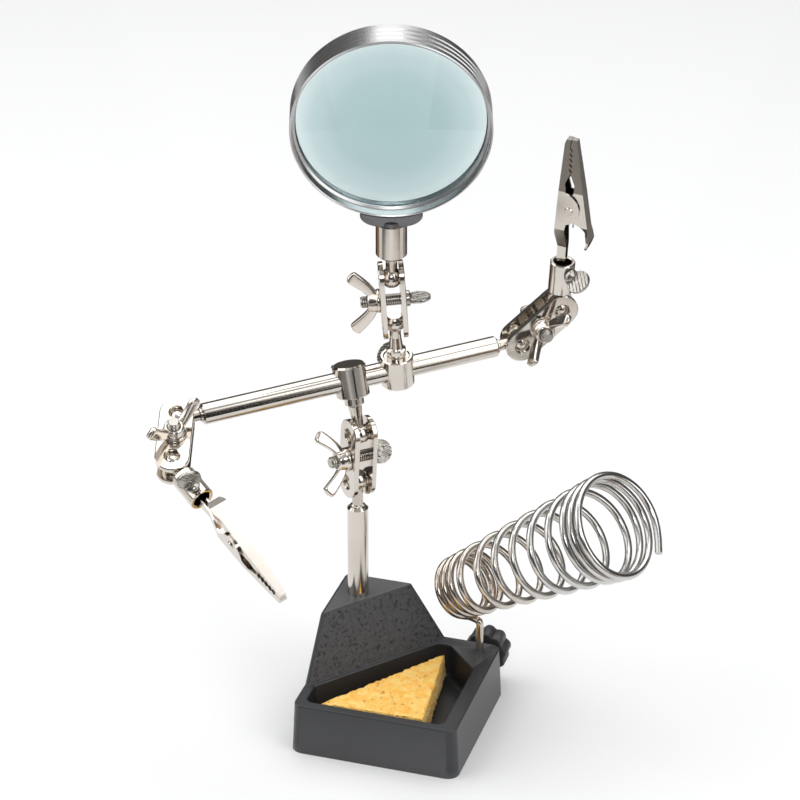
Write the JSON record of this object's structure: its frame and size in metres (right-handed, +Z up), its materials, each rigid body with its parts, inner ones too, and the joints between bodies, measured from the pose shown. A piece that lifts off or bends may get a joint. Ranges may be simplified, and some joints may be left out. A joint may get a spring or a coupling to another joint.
{
  "type": "helping hands clamp",
  "caption": "Bench third hand: weighted base with sponge tray, jointed crossbar with two spring clips, a magnifier and a coil holder for a soldering iron.",
  "frame": {"origin": "centre of the base's flat underside, where it rests on the bench", "axes": "+Z up; +X to the right along the base's front edge; +Y to the back, away from the sponge tray's front wall"},
  "size_m": [0.1586, 0.1345, 0.2393],
  "materials": {
    "black_paint": "satin",
    "nickel": "polished",
    "steel": "satin",
    "spring_wire": "bright",
    "dark_steel": "satin",
    "ring_plate": "satin",
    "black_plastic": "satin",
    "glass": "polished",
    "sponge": "matte"
  },
  "bodies": {
    "base": {"base_casting": "black_paint", "post": "nickel", "post_screw": "steel"},
    "sponge": {"sponge": "sponge"},
    "iron_holder": {"iron_holder_coil": "spring_wire"},
    "holder_knob": {"holder_knob": "black_plastic", "holder_knob_stud": "steel"},
    "post_stud": {"post_ball_stud": "nickel"},
    "post_joint_plates": {"post_joint_front_plate": "nickel", "post_joint_back_plate": "nickel"},
    "post_joint_screw": {"post_joint_screw": "nickel"},
    "post_joint_wing_nut": {"post_joint_wing_nut": "nickel"},
    "main_clamp_stud": {"main_clamp_stud": "nickel"},
    "main_clamp": {"main_clamp_barrel": "nickel"},
    "main_clamp_screw": {"main_clamp_screw": "nickel"},
    "crossbar": {"crossbar": "nickel"},
    "right_rod_stud": {"crossbar_right_stud": "nickel"},
    "right_joint_plates": {"right_joint_front_plate": "nickel", "right_joint_back_plate": "nickel"},
    "right_joint_screw": {"right_joint_screw": "nickel"},
    "right_joint_wing_nut": {"right_joint_wing_nut": "nickel"},
    "right_socket_stud": {"right_socket_stud": "nickel"},
    "right_clip": {"right_socket": "nickel", "right_clip_lower_jaw": "nickel", "right_clip_rivet": "nickel", "right_clip_spring": "steel"},
    "right_socket_screw": {"right_socket_screw": "nickel"},
    "right_upper_jaw": {"right_clip_upper_jaw": "nickel"},
    "left_rod_stud": {"crossbar_left_stud": "nickel"},
    "left_joint_plates": {"left_joint_front_plate": "nickel", "left_joint_back_plate": "nickel"},
    "left_joint_screw": {"left_joint_screw": "nickel"},
    "left_joint_wing_nut": {"left_joint_wing_nut": "nickel"},
    "left_socket_stud": {"left_socket_stud": "nickel"},
    "left_clip": {"left_socket": "nickel", "left_clip_lower_jaw": "nickel", "left_clip_rivet": "nickel", "left_clip_spring": "steel"},
    "left_socket_screw": {"left_socket_screw": "nickel"},
    "left_upper_jaw": {"left_clip_upper_jaw": "nickel"},
    "lens_clamp": {"lens_clamp_barrel": "nickel"},
    "lens_clamp_screw": {"lens_clamp_screw": "nickel"},
    "lens_clamp_stud": {"lens_clamp_stud": "nickel"},
    "lens_joint_plates": {"lens_joint_front_plate": "nickel", "lens_joint_back_plate": "nickel"},
    "lens_joint_screw": {"lens_joint_screw": "nickel"},
    "lens_joint_wing_nut": {"lens_joint_wing_nut": "nickel"},
    "lens_stud": {"lens_stud": "nickel"},
    "lens_head": {"lens_ferrule": "nickel", "lens_saddle": "dark_steel", "lens_rivet": "steel", "lens_ring": "ring_plate", "lens_retaining_ring": "ring_plate", "lens_glass": "glass"}
  },
  "joints": [
    {"name": "sponge_lift", "type": "slide", "parent": "base", "child": "sponge", "axis": [0, 0, 1], "range_m": [0, 0.012]},
    {"name": "iron_holder_swivel", "type": "hinge", "parent": "base", "child": "iron_holder", "pos_m": [0.0213, 0.0232, 0.02], "axis": [0, 0, 1], "range_deg": [-90, 90]},
    {"name": "holder_knob_turn", "type": "hinge", "parent": "base", "child": "holder_knob", "pos_m": [0.0213, 0.033, 0.0122], "axis": [0, -1, 0], "continuous": true},
    {"name": "post_ball_twist", "type": "hinge", "parent": "base", "child": "post_stud", "pos_m": [-0.0188, 0.0155, 0.0804], "axis": [0, 0, 1], "range_deg": [-90, 60]},
    {"name": "post_joint_swing", "type": "hinge", "parent": "post_stud", "child": "post_joint_plates", "pos_m": [-0.0188, 0.0155, 0.0804], "axis": [-0.7018, -0.712, 0.0226], "range_deg": [-45, 45]},
    {"name": "post_joint_screw_turn", "type": "hinge", "parent": "post_joint_plates", "child": "post_joint_screw", "pos_m": [-0.01841, 0.01539, 0.08904], "axis": [-0.7018, -0.712, 0.0226], "continuous": true},
    {"name": "post_joint_wing_nut_turn", "type": "hinge", "parent": "post_joint_plates", "child": "post_joint_wing_nut", "pos_m": [-0.01841, 0.01539, 0.08904], "axis": [-0.7018, -0.712, 0.0226], "continuous": true},
    {"name": "main_clamp_swing", "type": "hinge", "parent": "post_joint_plates", "child": "main_clamp_stud", "pos_m": [-0.01802, 0.01528, 0.09768], "axis": [0.7018, 0.712, -0.0226], "range_deg": [-45, 45]},
    {"name": "main_clamp_twist", "type": "hinge", "parent": "main_clamp_stud", "child": "main_clamp", "pos_m": [-0.01802, 0.01528, 0.09768], "axis": [-0.1992, 0.1446, 0.9692], "range_deg": [-90, 45]},
    {"name": "main_clamp_screw_turn", "type": "hinge", "parent": "main_clamp", "child": "main_clamp_screw", "pos_m": [-0.02167, 0.01793, 0.11547], "axis": [0.5681, -0.7888, 0.2345], "continuous": true},
    {"name": "crossbar_slide", "type": "slide", "parent": "main_clamp", "child": "crossbar", "axis": [0.7985, 0.5973, 0.075], "range_m": [-0.003, 0.034]},
    {"name": "right_arm_twist", "type": "hinge", "parent": "crossbar", "child": "right_rod_stud", "pos_m": [0.02504, 0.05287, 0.11985], "axis": [0.7985, 0.5973, 0.075], "range_deg": [-90, 90]},
    {"name": "right_joint_swing", "type": "hinge", "parent": "right_rod_stud", "child": "right_joint_plates", "pos_m": [0.02504, 0.05287, 0.11985], "axis": [0.5221, -0.8518, -0.0424], "range_deg": [-60, 30]},
    {"name": "right_joint_screw_turn", "type": "hinge", "parent": "right_joint_plates", "child": "right_joint_screw", "pos_m": [0.03073, 0.05608, 0.12552], "axis": [0.5221, -0.8518, -0.0424], "continuous": true},
    {"name": "right_joint_wing_nut_turn", "type": "hinge", "parent": "right_joint_plates", "child": "right_joint_wing_nut", "pos_m": [0.03073, 0.05608, 0.12552], "axis": [0.5221, -0.8518, -0.0424], "continuous": true},
    {"name": "right_socket_swing", "type": "hinge", "parent": "right_joint_plates", "child": "right_socket_stud", "pos_m": [0.03643, 0.05929, 0.13118], "axis": [-0.5221, 0.8518, 0.0424], "range_deg": [-44, 55]},
    {"name": "right_clip_twist", "type": "hinge", "parent": "right_socket_stud", "child": "right_clip", "pos_m": [0.03643, 0.05929, 0.13118], "axis": [0.0815, -0.0906, 0.9925], "range_deg": [-180, 180]},
    {"name": "right_socket_screw_turn", "type": "hinge", "parent": "right_clip", "child": "right_socket_screw", "pos_m": [0.03755, 0.05805, 0.14478], "axis": [-0.7991, 0.5892, 0.1194], "continuous": true},
    {"name": "right_jaw_open", "type": "hinge", "parent": "right_clip", "child": "right_upper_jaw", "pos_m": [0.0407, 0.05578, 0.16849], "axis": [0.0869, 0.9927, 0.0834], "range_deg": [0, 22], "stiffness_Nm_per_rad": 0.05, "springref_deg": -28.65},
    {"name": "left_arm_twist", "type": "hinge", "parent": "crossbar", "child": "left_rod_stud", "pos_m": [-0.06838, -0.01701, 0.11108], "axis": [-0.7985, -0.5973, -0.075], "range_deg": [-90, 90]},
    {"name": "left_joint_swing", "type": "hinge", "parent": "left_rod_stud", "child": "left_joint_plates", "pos_m": [-0.06838, -0.01701, 0.11108], "axis": [0.1344, -0.3901, 0.9109], "range_deg": [-60, 50]},
    {"name": "left_joint_screw_turn", "type": "hinge", "parent": "left_joint_plates", "child": "left_joint_screw", "pos_m": [-0.06641, -0.02465, 0.10752], "axis": [0.1344, -0.3901, 0.9109], "continuous": true},
    {"name": "left_joint_wing_nut_turn", "type": "hinge", "parent": "left_joint_plates", "child": "left_joint_wing_nut", "pos_m": [-0.06641, -0.02465, 0.10752], "axis": [0.1344, -0.3901, 0.9109], "continuous": true},
    {"name": "left_socket_swing", "type": "hinge", "parent": "left_joint_plates", "child": "left_socket_stud", "pos_m": [-0.06444, -0.03228, 0.10396], "axis": [-0.1344, 0.3901, -0.9109], "range_deg": [-56, 60]},
    {"name": "left_clip_twist", "type": "hinge", "parent": "left_socket_stud", "child": "left_clip", "pos_m": [-0.06444, -0.03228, 0.10396], "axis": [0.7722, -0.5407, -0.3338], "range_deg": [-180, 180]},
    {"name": "left_socket_screw_turn", "type": "hinge", "parent": "left_clip", "child": "left_socket_screw", "pos_m": [-0.05386, -0.03969, 0.09939], "axis": [0.0478, 0.5732, -0.818], "continuous": true},
    {"name": "left_jaw_open", "type": "hinge", "parent": "left_clip", "child": "left_upper_jaw", "pos_m": [-0.03519, -0.05314, 0.09247], "axis": [-0.6254, -0.7398, -0.2484], "range_deg": [0, 22], "stiffness_Nm_per_rad": 0.05, "springref_deg": -28.65},
    {"name": "lens_clamp_slide", "type": "slide", "parent": "crossbar", "child": "lens_clamp", "axis": [-0.7985, -0.5973, -0.075], "range_m": [-0.022, 0.004]},
    {"name": "lens_clamp_screw_turn", "type": "hinge", "parent": "lens_clamp", "child": "lens_clamp_screw", "pos_m": [-0.00898, 0.02743, 0.11666], "axis": [0.602, -0.7936, -0.0886], "continuous": true},
    {"name": "lens_arm_twist", "type": "hinge", "parent": "lens_clamp", "child": "lens_clamp_stud", "pos_m": [-0.0091, 0.0253, 0.13488], "axis": [-0.0066, -0.1159, 0.9932], "range_deg": [-90, 90]},
    {"name": "lens_joint_swing", "type": "hinge", "parent": "lens_clamp_stud", "child": "lens_joint_plates", "pos_m": [-0.0091, 0.0253, 0.13488], "axis": [-0.93, -0.3606, -0.0707], "range_deg": [-60, 60]},
    {"name": "lens_joint_screw_turn", "type": "hinge", "parent": "lens_joint_plates", "child": "lens_joint_screw", "pos_m": [-0.00915, 0.02377, 0.1434], "axis": [-0.93, -0.3606, -0.0707], "continuous": true},
    {"name": "lens_joint_wing_nut_turn", "type": "hinge", "parent": "lens_joint_plates", "child": "lens_joint_wing_nut", "pos_m": [-0.00915, 0.02377, 0.1434], "axis": [-0.93, -0.3606, -0.0707], "continuous": true},
    {"name": "lens_head_swing", "type": "hinge", "parent": "lens_joint_plates", "child": "lens_stud", "pos_m": [-0.0092, 0.02224, 0.15191], "axis": [0.93, 0.3606, 0.0707], "range_deg": [-60, 60]},
    {"name": "lens_head_twist", "type": "hinge", "parent": "lens_stud", "child": "lens_head", "pos_m": [-0.0092, 0.02224, 0.15191], "axis": [0.0276, -0.0881, 0.9957], "range_deg": [-180, 180]}
  ]
}
